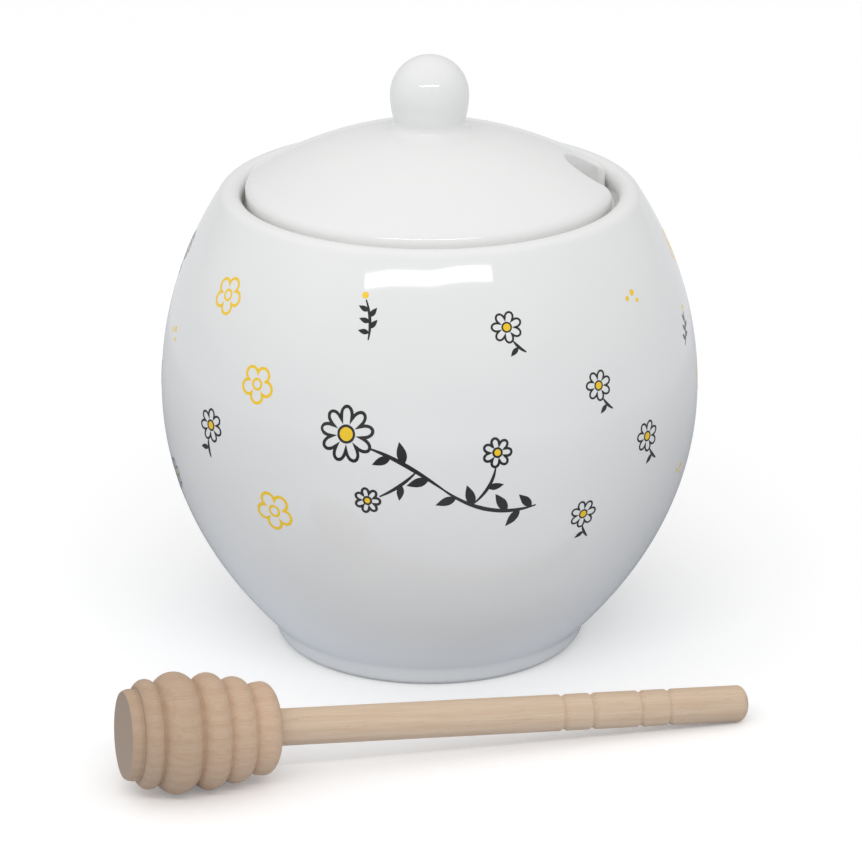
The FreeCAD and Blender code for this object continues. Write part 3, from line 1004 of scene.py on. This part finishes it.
def add_patch(ink, outline):
    """Filled patch of ink inside a flat outline as a thin closed slab."""
    work, lift = ink
    outline = np.array(outline, float)
    rims, hearts = [], []
    for level in (0.0, 1.0):
        rim = [work.verts.new((*p, 0.0)) for p in outline]
        heart = work.verts.new((*outline.mean(0), 0.0))
        for vert in (*rim, heart):
            vert[lift] = level
        rims.append(rim)
        hearts.append(heart)
    for k in range(len(outline)):
        n = (k + 1) % len(outline)
        work.faces.new((rims[0][n], rims[0][k], hearts[0]))
        work.faces.new((rims[1][k], rims[1][n], hearts[1]))
        work.faces.new((rims[0][k], rims[0][n], rims[1][n], rims[1][k]))


def round_path(centre, radius, steps):
    angles = 2 * math.pi * np.arange(steps) / steps
    return np.array(centre) + radius * np.stack([np.cos(angles), np.sin(angles)], 1)


def petal_path(centre, radius, petals, heart_share, turn=0.0):
    """Outline of a blossom with round petals that draw in to the heart between them."""
    petal_steps, roundness = 22, 0.5
    steps = petals * petal_steps
    angles = 2 * math.pi * np.arange(steps) / steps
    swell = np.abs(np.cos(petals * angles / 2)) ** roundness
    out = radius * (heart_share + (1 - heart_share) * swell)
    return np.array(centre) + out[:, None] * np.stack([np.cos(angles + turn), np.sin(angles + turn)], 1)


def leaf_path(root, way_deg, size, width):
    """Outline of a pointed leaf that grows from its root."""
    steps, belly_power = 13, 0.8
    t = np.linspace(0.0, 1.0, steps)
    side = width / 2 * np.sin(math.pi * t ** belly_power)
    edge = np.concatenate([np.stack([t * size, side], 1), np.stack([t * size, -side], 1)[-2:0:-1]])
    way = math.radians(way_deg)
    spin = np.array(((math.cos(way), math.sin(way)), (-math.sin(way), math.cos(way))))
    return np.array(root) + edge @ spin


def stem_line(start, corner, end, line, steps=22):
    """Pen line that swells in its middle and thins at its ends."""
    end_share, swell_share = 0.55, 0.75
    path = conic_run(start, corner, end, 1.0, steps)
    t = np.linspace(0.0, 1.0, steps + 1)
    return path, line * (end_share + swell_share * np.sin(math.pi * t))


def draw_blossom(black, yellow, centre, radius, petals, line, turn=0.0):
    """Outlined blossom with a yellow heart."""
    throat_share, heart_share, heart_steps, ring_steps, ring_line = 0.42, 0.3, 22, 26, 0.8
    add_line(black, petal_path(centre, radius, petals, throat_share, turn), line, closed=True)
    add_patch(yellow, round_path(centre, radius * heart_share, heart_steps))
    add_line(black, round_path(centre, radius * heart_share, ring_steps), line * ring_line, closed=True)


def add_leaves(ink, path, leaves):
    """Leaves along a stem: share of the way, lean from the stem in degrees and size of each."""
    for share, lean_deg, size_mm in leaves:
        k = int(share * (len(path) - 2))
        along = path[k + 1] - path[k]
        way_deg = math.degrees(math.atan2(along[1], along[0])) + lean_deg
        add_patch(ink, leaf_path(path[k], way_deg, size_mm * MM, size_mm * LEAF_WIDTH_SHARE * MM))


def draw_spray(black, yellow, sizes):
    """Large spray: a swung stem that falls to the right, with leaves and three blossoms."""
    line, big = sizes.line_width * 1.35, sizes.spray_radius
    mm = np.array((MM, MM))
    root, joint, crown = (25.0, -10.5) * mm, (3.0, -4.6) * mm, (-13.2, 4.4) * mm
    lower, lower_widths = stem_line(root, (13.0, -12.6) * mm, joint, line)
    upper, upper_widths = stem_line(joint, (-6.0, 2.4) * mm, crown, line)
    twig, twig_widths = stem_line((9.6, -8.2) * mm, (14.0, -4.6) * mm, (14.6, 0.2) * mm, line * 0.8)
    spur, spur_widths = stem_line((-3.0, -0.6) * mm, (-6.0, -4.0) * mm, (-11.0, -6.6) * mm, line * 0.8)
    for path, widths in ((lower, lower_widths), (upper, upper_widths), (twig, twig_widths),
                         (spur, spur_widths)):
        add_line(black, path, widths)
    add_leaves(black, lower,
               ((0.08, -52, 5.0), (0.2, 50, 5.2), (0.38, -50, 5.4), (0.72, -48, 5.2), (0.94, 54, 4.8)))
    add_leaves(black, upper, ((0.22, 52, 5.0), (0.56, -50, 5.2), (0.76, 48, 4.6)))
    add_leaves(black, twig, ((0.5, -50, 3.8),))
    add_leaves(black, spur, ((0.5, 46, 3.8),))
    draw_blossom(black, yellow, (-18.8, 7.4) * mm, big, 9, line, 0.17)
    draw_blossom(black, yellow, (15.0, 3.4) * mm, big * 0.52, 7, line * 0.8)
    draw_blossom(black, yellow, (-13.8, -7.8) * mm, big * 0.46, 7, line * 0.8)


def draw_daisy(black, yellow, sizes):
    draw_blossom(black, yellow, (0.0, 0.0), sizes.blossom_radius, 7, sizes.line_width * 0.85)
    path = stem_line((0.0, -sizes.blossom_radius), (0.4 * MM, -5.4 * MM), (1.7 * MM, -7.0 * MM),
                     sizes.line_width)
    add_line(black, *path)
    add_patch(black, leaf_path((0.4 * MM, -5.2 * MM), 205, 2.7 * MM, 1.2 * MM))


def draw_sprig(black, yellow, sizes):
    add_line(black, *stem_line((-1.0 * MM, -4.4 * MM), (0.8 * MM, -0.5 * MM), (0.2 * MM, 4.2 * MM),
                               sizes.line_width * 0.9))
    for x, y, way in ((-0.5, -2.9, 155), (-0.2, -2.0, 35), (0.1, -0.7, 148), (0.3, 0.4, 40),
                      (0.3, 1.7, 140)):
        add_patch(black, leaf_path((x * MM, y * MM), way, 2.5 * MM, 1.15 * MM))
    add_patch(yellow, round_path((0.2 * MM, 5.2 * MM), 0.75 * MM, 16))


def draw_pale_blossom(black, yellow, sizes):
    line = sizes.line_width * 1.3
    add_line(yellow, petal_path((0.0, 0.0), sizes.blossom_radius * 1.3, 5, 0.5), line, closed=True)
    add_line(yellow, round_path((0.0, 0.0), sizes.blossom_radius * 0.36, 24), line * 0.85, closed=True)


def draw_dots(black, yellow, sizes):
    for x, y, radius in ((-1.7, -0.5, 0.62), (0.2, 0.9, 0.78), (1.8, -0.8, 0.55)):
        add_patch(yellow, round_path((x * MM, y * MM), radius * MM, 16))


MOTIFS = (draw_spray, draw_daisy, draw_sprig, draw_pale_blossom, draw_dots)
SPRAY, DAISY, SPRIG, PALE, DOTS = range(len(MOTIFS))


def draw_motifs(sizes):
    """Draws every motif flat, once for each ink, and returns one collection for each ink."""
    inks = {name: bpy.data.collections.new("motifs_" + name) for name in ("black", "yellow")}
    for group in inks.values():
        bpy.context.scene.collection.children.link(group)
    for k, draw in enumerate(MOTIFS):
        works = {name: bmesh.new() for name in inks}
        layers = {name: work.verts.layers.float.new("lift") for name, work in works.items()}
        draw(*((works[name], layers[name]) for name in ("black", "yellow")), sizes)
        for name, work in works.items():
            bmesh.ops.recalc_face_normals(work, faces=work.faces)
            mesh = bpy.data.meshes.new("motif_%s_%d" % (name, k))
            work.to_mesh(mesh)
            work.free()
            inks[name].objects.link(bpy.data.objects.new(mesh.name, mesh))
    return inks


def motif_places(sizes):
    """Rows of motifs round the wall, clear of the spray in front: kind, place, turn and size."""
    draw = random.Random(sizes.seed)
    front = -90.0
    rows = ((91.0, 10, 18.0), (76.5, 10, 0.0), (61.5, 10, 18.0), (46.0, 10, 0.0))
    order = (DAISY, DOTS, PALE, SPRIG, DAISY, SPRIG, DOTS, DAISY, PALE, SPRIG)
    spray_low, spray_high, spray_half = 46.0, 76.0, 34.0
    azimuth_play, level_play, turn_play, least_size, most_size = 4.0, 2.2, 24.0, 0.86, 1.06
    places = [(SPRAY, front, sizes.spray_height / MM, 0.0, 1.0)]
    for row, (height, count, shift) in enumerate(rows):
        for k in range(count):
            azimuth = front + shift + k * 360.0 / count + draw.uniform(-azimuth_play, azimuth_play)
            level = height + draw.uniform(-level_play, level_play)
            turn, size = draw.uniform(-turn_play, turn_play), draw.uniform(least_size, most_size)
            kind = order[(k + 3 * row) % len(order)]
            away = abs((azimuth - front + 180.0) % 360.0 - 180.0)
            if away > spray_half or not spray_low < level < spray_high:
                places.append((kind, azimuth, level, turn, size))
    return places


def print_tree():
    """Geometry nodes that lay flat motifs on points of a wall and press them onto it."""
    name = "print_on_wall"
    if name in bpy.data.node_groups:
        return bpy.data.node_groups[name]
    tree, given = new_group(name, (("Motifs", "Collection"), ("Wall", "Object"), ("Ink Top", "Float"),
                                   ("Ink Sink", "Float"), ("Finish", "Material")))
    wall = add(tree, "GeometryNodeObjectInfo", {"Object": given["Wall"]}).outputs["Geometry"]
    motifs = add(tree, "GeometryNodeCollectionInfo",
                 {"Collection": given["Motifs"], "Separate Children": True})
    attributes = {
        label: add(tree, "GeometryNodeInputNamedAttribute", {"Name": label}, data_type=kind).outputs[0]
        for label, kind in (("kind", "INT"), ("turn", "FLOAT"), ("size", "FLOAT"), ("lift", "FLOAT"))}
    way = add(tree, "GeometryNodeInputNormal").outputs["Normal"]
    outward = add(tree, "GeometryNodeSampleNearestSurface", {"Mesh": wall, "Value": way},
                  data_type="FLOAT_VECTOR").outputs["Value"]
    upright = add(tree, "FunctionNodeAxesToRotation",
                  {"Primary Axis": outward, "Secondary Axis": (0.0, 0.0, 1.0)},
                  primary_axis="Z", secondary_axis="Y")
    spin = add(tree, "ShaderNodeCombineXYZ", {"Z": attributes["turn"]})
    turned = add(tree, "FunctionNodeRotateRotation",
                 {"Rotation": upright.outputs[0], "Rotate By": spin.outputs[0]}, rotation_space="LOCAL")
    laid = add(tree, "GeometryNodeInstanceOnPoints",
               {"Points": given["Geometry"], "Instance": motifs.outputs[0], "Pick Instance": True,
                "Instance Index": attributes["kind"], "Rotation": turned.outputs[0],
                "Scale": attributes["size"]})
    real = add(tree, "GeometryNodeRealizeInstances", {"Geometry": laid.outputs[0]})
    onto = add(tree, "GeometryNodeProximity", {"Geometry": wall}, target_element="FACES")
    film = number(tree, "ADD", given["Ink Top"], given["Ink Sink"])
    above = number(tree, "MULTIPLY", attributes["lift"], film)
    stand = number(tree, "SUBTRACT", above, given["Ink Sink"])
    off = add(tree, "ShaderNodeVectorMath", {0: outward, "Scale": stand}, operation="SCALE")
    pressed = add(tree, "GeometryNodeSetPosition",
                  {"Geometry": real.outputs[0], "Position": onto.outputs["Position"],
                   "Offset": off.outputs[0]})
    dressed = add(tree, "GeometryNodeSetMaterial",
                  {"Geometry": pressed.outputs[0], "Material": given["Finish"]})
    add(tree, "NodeGroupOutput", {"Geometry": dressed.outputs[0]})
    return tree


def place_points(places, wall):
    """Points on the wall with the kind, turn and size of the motif that goes there."""
    spots = []
    for _, azimuth, height, _, _ in places:
        way = Vector((math.cos(math.radians(azimuth)), math.sin(math.radians(azimuth)), 0.0))
        hit, spot, _, _ = wall.ray_cast(way + Vector((0.0, 0.0, height * MM)), -way)
        if not hit:
            raise RuntimeError("a motif of the print misses the wall at height %.1f mm" % height)
        spots.append(tuple(spot))
    mesh = bpy.data.meshes.new("print_points")
    mesh.from_pydata(spots, [], [])
    columns = (("kind", "INT", [p[0] for p in places]),
               ("turn", "FLOAT", [math.radians(p[3]) for p in places]),
               ("size", "FLOAT", [p[4] for p in places]))
    for label, kind, values in columns:
        mesh.attributes.new(label, kind, "POINT").data.foreach_set("value", values)
    return shown("print_points", mesh)


class HONEY_OT_print(bpy.types.Operator):
    """Prints blossoms, sprigs and dots in black and yellow onto the pot's wall"""
    bl_idname = "honey.print"
    bl_label = "Flower print"

    def execute(self, context):
        sizes, colours = context.scene.honey_print, context.scene.honey_finishes
        wall = bpy.data.objects.get("pot_body")
        if wall is None:
            raise RuntimeError("build the pot before its print")
        places = motif_places(sizes)
        inks = draw_motifs(sizes)
        for name, shade, top in (("black", colours.ink_black, 1.0),
                                 ("yellow", colours.ink_yellow, 0.6)):
            values = {
                "Motifs": inks[name], "Wall": wall, "Ink Top": sizes.ink_thickness * top,
                "Ink Sink": sizes.ink_thickness,
                "Finish": ceramic_transfer("transfer_" + name, tuple(shade)),
            }
            mesh = evaluated_mesh(place_points(places, wall), print_tree(), values)
            mesh.attributes.remove(mesh.attributes["lift"])
            close_mesh(mesh)
            piece = shown("print_" + name, mesh)
            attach(piece, "pot")
        for group in inks.values():
            for motif in list(group.objects):
                drop(motif)
            bpy.data.collections.remove(group)
        return {"FINISHED"}


# Stage

def pale_floor(colours):
    """Plain pale studio floor: white to the eye, partly white in reflections, and greyer in the light
    that it throws up. That thrown-up light is painted: a painted pool of light in front of the pot and
    painted shade beside it."""
    material, tree = new_finish("pale_floor")
    # Near the pot the glaze reflects the grey floor rather than the white: painted shade in the
    # reflections at the pot's edges
    near_gloss, far_gloss = 0.1, 0.6
    painted_light_middle, painted_light_radius, table_radius = (-15.0 * MM, -90.0 * MM, 0.0), 60.0 * MM, 150.0 * MM
    room_start, room_radius, back_radius = 200.0 * MM, 320.0 * MM, 420.0 * MM
    sheet_white, glow_strength = (0.95, 0.95, 0.95, 1.0), 0.17
    place = add(tree, "ShaderNodeTexCoord").outputs["Object"]
    out = vector_measure(tree, "DISTANCE", place, painted_light_middle)
    away = ranged(tree, out, painted_light_radius, table_radius, easing="SMOOTHSTEP")
    beyond = ranged(tree, out, room_start, room_radius, easing="SMOOTHSTEP")
    gloss = ranged(tree, out, room_radius, back_radius, near_gloss, far_gloss, "SMOOTHSTEP")
    # Painted bounce light: a bright pool in front of the pot, fading to painted shade beside it
    near = tint(tree, away, colours.floor, colours.floor_side_painted_shade)
    grey = add(tree, "ShaderNodeBsdfDiffuse", {"Color": tint(tree, beyond, near, colours.floor_far)})
    white = add(tree, "ShaderNodeBsdfDiffuse", {"Color": sheet_white})
    glow = add(tree, "ShaderNodeEmission", {"Strength": glow_strength})
    lit = add(tree, "ShaderNodeAddShader", {0: white.outputs[0], 1: glow.outputs[0]})
    either = add(tree, "ShaderNodeMixShader",
                 {0: white_share(tree, gloss), 1: grey.outputs[0], 2: lit.outputs[0]})
    add(tree, "ShaderNodeOutputMaterial", {"Surface": either.outputs[0]})
    return material


def studio_world():
    """Soft white tent: even light all round, with more from above, the left and the right."""
    world = bpy.data.worlds.new("studio_tent")
    world.use_nodes = True
    tree = world.node_tree
    tree.nodes.clear()
    way = add(tree, "ShaderNodeTexCoord").outputs["Generated"]
    even_light, gloss_share, white = 0.635, 0.1, (0.995, 0.995, 1.0, 1.0)
    panels = (
        (Vector((0.0, 0.0, 1.0)), 0.3, 0.95, 0.211),
        (Vector((-0.95, -0.1, 0.3)), 0.5, 1.0, 0.293),
        (Vector((0.95, -0.1, 0.3)), 0.5, 1.0, 0.142))
    total = even_light
    for panel_way, edge, core, strength in panels:
        facing = vector_measure(tree, "DOT_PRODUCT", way, panel_way.normalized())
        level = ranged(tree, facing, edge, core, 0.0, strength, "SMOOTHSTEP")
        total = number(tree, "ADD", level, total)
    strength = blend(tree, white_share(tree, gloss_share), total, 1.0)
    light = add(tree, "ShaderNodeBackground", {"Color": white, "Strength": strength})
    add(tree, "ShaderNodeOutputWorld", {"Surface": light.outputs[0]})
    return world


def way_at(azimuth_deg, elevation_deg):
    """Direction by its azimuth from straight ahead towards +X and its height as an angle."""
    azimuth, elevation = math.radians(azimuth_deg), math.radians(elevation_deg)
    flat = math.cos(elevation)
    return Vector((math.sin(azimuth) * flat, -math.cos(azimuth) * flat, math.sin(elevation)))


def strip_lamp(scene, name, first_way, last_way, power):
    """Strip lamp that faces the pot's shoulder and reaches from one direction to another."""
    shoulder, distance, height_share = Vector((0.0, -48.0 * MM, 102.0 * MM)), 0.9, 0.073
    reach = (last_way - first_way) * distance
    across, out = reach.normalized(), (first_way + last_way).normalized()
    lamp = bpy.data.lights.new(name, "AREA")
    lamp.shape = "RECTANGLE"
    lamp.size, lamp.size_y = reach.length, distance * height_share
    lamp.energy = power
    strip = bpy.data.objects.new(name, lamp)
    scene.collection.objects.link(strip)
    place = shoulder + (first_way + last_way) * (distance / 2)
    facing = Matrix((across, out.cross(across), out)).transposed().to_4x4()
    strip.matrix_world = Matrix.Translation(place) @ facing


class HONEY_OT_stage(bpy.types.Operator):
    """Sets the floor, the light and the camera"""
    bl_idname = "honey.stage"
    bl_label = "Stage"

    def execute(self, context):
        scene, stage = context.scene, context.scene.honey_stage
        floor_half = 4.0
        signs = ((-1, -1), (1, -1), (1, 1), (-1, 1))
        corners = [(x * floor_half, y * floor_half, 0.0) for x, y in signs]
        mesh = bpy.data.meshes.new("floor")
        mesh.from_pydata(corners, [], [(0, 1, 2, 3)])
        mesh.materials.append(pale_floor(scene.honey_finishes))
        shown("floor", mesh)
        scene.world = studio_world()

        left, middle, right = (way_at(-37.0, 36.7), way_at(0.0, 41.1), way_at(37.0, 39.1))
        for name, first, last in (("key_strip_left", left, middle), ("key_strip_right", middle, right)):
            strip_lamp(scene, name, first, last, stage.key_power / 2)

        camera = bpy.data.objects.new("camera", bpy.data.cameras.new("camera"))
        camera.data.lens = stage.camera_lens
        camera.data.sensor_width = 36.0
        camera.data.clip_start, camera.data.clip_end = 0.05, 20.0
        scene.collection.objects.link(camera)
        target = Vector((stage.camera_aim_x, 0.0, stage.camera_aim_z))
        back = Vector((0.0, -math.cos(stage.camera_elevation), math.sin(stage.camera_elevation)))
        eye = Vector((0.0, 0.0, stage.camera_aim_z)) + back * stage.camera_distance
        look = (target - eye).to_track_quat("-Z", "Y").to_matrix().to_4x4()
        camera.matrix_world = Matrix.Translation(eye) @ look
        scene.camera = camera
        scene.view_settings.view_transform = "Standard"
        return {"FINISHED"}


class HONEY_PT_panel(bpy.types.Panel):
    """Sizes and finishes of the honey pot, and the steps that build it"""
    bl_idname = "HONEY_PT_panel"
    bl_label = "Honey pot"
    bl_space_type = "VIEW_3D"
    bl_region_type = "UI"
    bl_category = "Honey pot"

    def draw(self, context):
        scene = context.scene
        for label, operator, group in (
                ("Pot", "honey.pot", scene.honey_pot),
                ("Lid", "honey.lid", scene.honey_lid),
                ("Dipper", "honey.dipper", scene.honey_dipper),
                ("Flower print", "honey.print", scene.honey_print),
                ("Finishes", None, scene.honey_finishes),
                ("Stage", "honey.stage", scene.honey_stage)):
            box = self.layout.box()
            box.label(text=label)
            for name in group.__annotations__:
                box.prop(group, name)
            if operator:
                box.operator(operator)


GROUPS = {
    "honey_pot": HoneyPotSizes,
    "honey_lid": HoneyLidSizes,
    "honey_dipper": HoneyDipperSizes,
    "honey_print": HoneyPrintSizes,
    "honey_finishes": HoneyFinishes,
    "honey_stage": HoneyStage,
}
OPERATORS = (HONEY_OT_pot, HONEY_OT_lid, HONEY_OT_dipper, HONEY_OT_print, HONEY_OT_stage)


def register():
    for name, group in GROUPS.items():
        bpy.utils.register_class(group)
        setattr(bpy.types.Scene, name, bpy.props.PointerProperty(type=group))
    for made in (*OPERATORS, HONEY_PT_panel):
        bpy.utils.register_class(made)


def unregister():
    for made in (HONEY_PT_panel, *reversed(OPERATORS)):
        bpy.utils.unregister_class(made)
    for name, group in reversed(GROUPS.items()):
        delattr(bpy.types.Scene, name)
        bpy.utils.unregister_class(group)


def main():
    """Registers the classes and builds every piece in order."""
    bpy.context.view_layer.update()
    register()
    bpy.ops.honey.pot()
    bpy.ops.honey.lid()
    bpy.ops.honey.dipper()
    bpy.ops.honey.print()
    bpy.ops.honey.stage()


if __name__ == "__main__":
    main()
